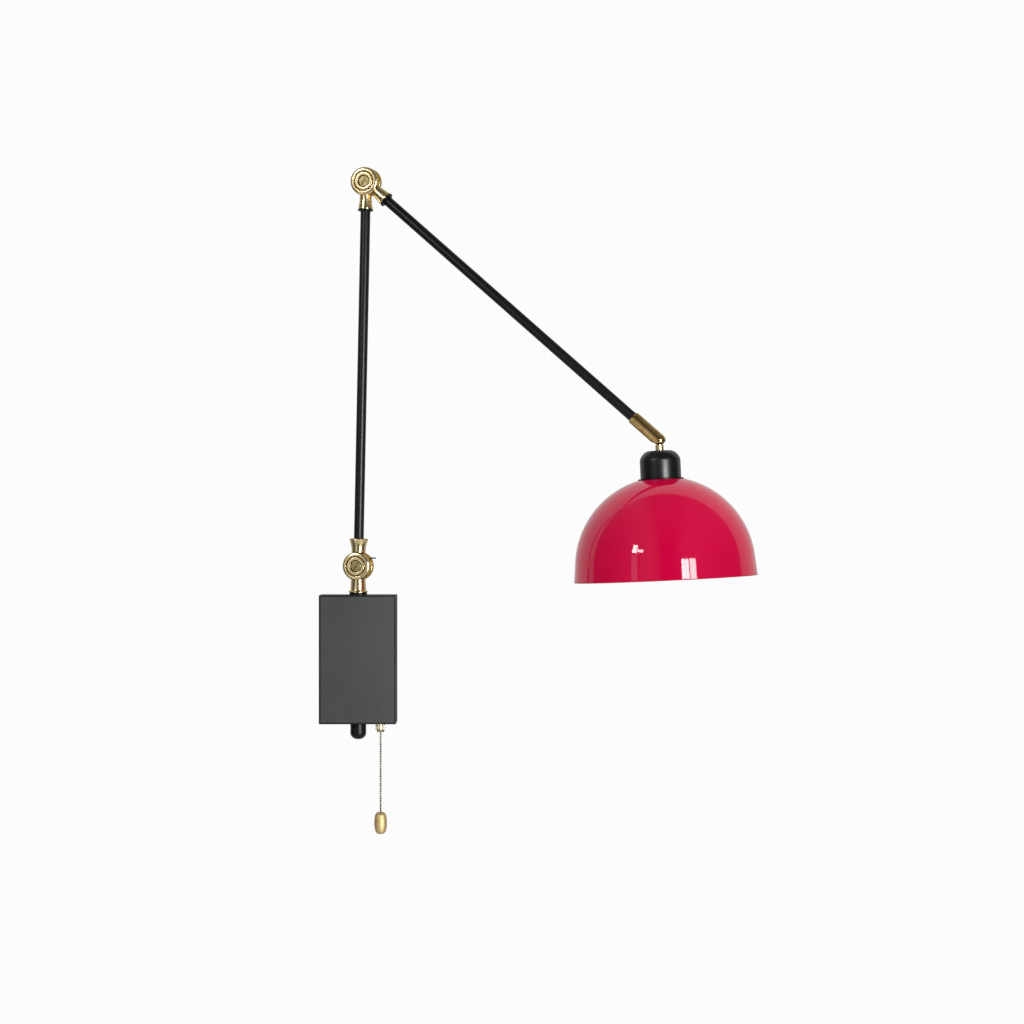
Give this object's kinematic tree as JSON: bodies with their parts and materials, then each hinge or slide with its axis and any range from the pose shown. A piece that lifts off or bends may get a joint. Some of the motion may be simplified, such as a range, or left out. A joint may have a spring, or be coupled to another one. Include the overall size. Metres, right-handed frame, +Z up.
{
  "type": "swing arm wall lamp",
  "caption": "Wall lamp on a slim box: hinged tubular arms with brass swivels carry a round dome shade, with a pull chain switch.",
  "frame": {"origin": "centre of the wall box on the wall, midway between the two wall screws", "axes": "+Y into the wall, +Z up, +X to the right seen from the room"},
  "size_m": [0.4202, 0.1769, 0.6501],
  "materials": {
    "box_paint": "matt dark grey powder coat",
    "tube_paint": "gloss black",
    "cup_enamel": "gloss black enamel",
    "shade_enamel": "gloss crimson outside, white inside",
    "brass": "satin, lightly polished",
    "nickel": "nickel plated",
    "zinc_steel": "zinc plated",
    "black_steel": "black oxide",
    "green_steel": "green dyed",
    "spring_steel": "bright drawn",
    "black_nylon": "moulded black nylon",
    "phenolic": "moulded phenolic",
    "connector_plastic": "moulded",
    "wire_insulation": "extruded insulation",
    "rubber": "matt",
    "fibre": "pressed red fibre",
    "bulb_aluminium": "rolled",
    "bulb_glass": "frosted glass"
  },
  "bodies": {
    "wall_box": {"mounting_bracket": "zinc_steel", "cover_box": "box_paint", "cover_screws": "black_steel", "ground_screw": "green_steel", "base_bush": "black_nylon", "thrust_washer": "zinc_steel", "gland_body": "black_nylon", "gland_dome_nut": "black_nylon", "gland_seal": "rubber", "gland_lock_nut": "black_nylon", "switch_body": "phenolic", "switch_spout": "nickel", "switch_ring_nut": "nickel", "switch_spring": "spring_steel", "wire_connectors": "connector_plastic", "arm_leads": "wire_insulation", "switch_leads": "wire_insulation"},
    "swing_post": {"base_post": "brass", "base_lock_nut": "zinc_steel", "shoulder_screw": "brass", "shoulder_nut": "brass", "shoulder_spring_washer": "spring_steel", "shoulder_friction_washer": "fibre"},
    "lower_arm": {"shoulder_arm_half": "brass", "stop_pin": "black_steel", "lower_tube": "tube_paint", "lower_arm_wires": "wire_insulation", "elbow_lower_ring": "black_nylon", "elbow_lower_half": "brass", "elbow_screw": "brass", "elbow_nut": "brass", "elbow_spring_washer": "spring_steel", "elbow_friction_washer": "fibre"},
    "upper_arm": {"elbow_upper_half": "brass", "elbow_upper_ring": "black_nylon", "upper_tube": "tube_paint", "upper_arm_wires": "wire_insulation", "end_nipple": "brass"},
    "sleeve": {"socket_sleeve": "brass", "ball_pad": "brass", "pad_spring": "spring_steel"},
    "ball": {"swivel_ball": "brass"},
    "head": {"stem": "brass", "stem_clip": "spring_steel", "socket_cup": "cup_enamel", "cup_washer": "zinc_steel", "stem_nut": "zinc_steel", "seat_ring": "black_nylon", "shade": "shade_enamel", "shade_ring": "phenolic", "lampholder_body": "phenolic", "lampholder_shell": "brass", "centre_contact": "brass", "head_leads": "wire_insulation", "bulb_cap": "bulb_aluminium", "bulb_glass": "bulb_glass"},
    "plunger": {"switch_plunger": "nickel"},
    "top_bead": {"chain_top_bead": "nickel"},
    "chain": {"pull_chain": "nickel", "pull_knob": "brass"}
  },
  "joints": [
    {"name": "base_swing", "type": "hinge", "parent": "wall_box", "child": "swing_post", "pos_m": [0, -0.016, 0.09065], "axis": [0, 0, 1], "range_deg": [-166, 14]},
    {"name": "shoulder", "type": "hinge", "parent": "swing_post", "child": "lower_arm", "pos_m": [0, -0.016, 0.09065], "axis": [0.2419, 0.9703, 0], "range_deg": [-116, 78]},
    {"name": "elbow", "type": "hinge", "parent": "lower_arm", "child": "upper_arm", "pos_m": [0.00775, -0.01793, 0.46547], "axis": [-0.2419, -0.9703, 0], "range_deg": [-1, 261]},
    {"name": "head_roll", "type": "hinge", "parent": "upper_arm", "child": "sleeve", "pos_m": [0.28948, -0.08817, 0.21128], "axis": [0.7301, -0.182, -0.6587], "range_deg": [-170, 170]},
    {"name": "head_tilt", "type": "hinge", "parent": "sleeve", "child": "ball", "pos_m": [0.28948, -0.08817, 0.21128], "axis": [0.2419, 0.9703, 0], "range_deg": [-45.9, 43.9]},
    {"name": "head_turn", "type": "hinge", "parent": "ball", "child": "head", "pos_m": [0.28948, -0.08817, 0.21128], "axis": [0.0474, -0.0118, -0.9988], "range_deg": [-170, 170]},
    {"name": "chain_pull", "type": "slide", "parent": "wall_box", "child": "plunger", "axis": [0, 0, -1], "range_m": [0, 0.008], "stiffness_N_per_m": 800, "springref_m": -0.004, "deforming": ["switch_spring"]},
    {"name": "chain_sway", "type": "hinge", "parent": "plunger", "child": "top_bead", "pos_m": [0.0218, -0.016, -0.0727], "axis": [1, 0, 0], "range_deg": [-30, 30]},
    {"name": "chain_swing", "type": "hinge", "parent": "top_bead", "child": "chain", "pos_m": [0.0218, -0.016, -0.0751], "axis": [0, 1, 0], "range_deg": [-30, 30]}
  ]
}
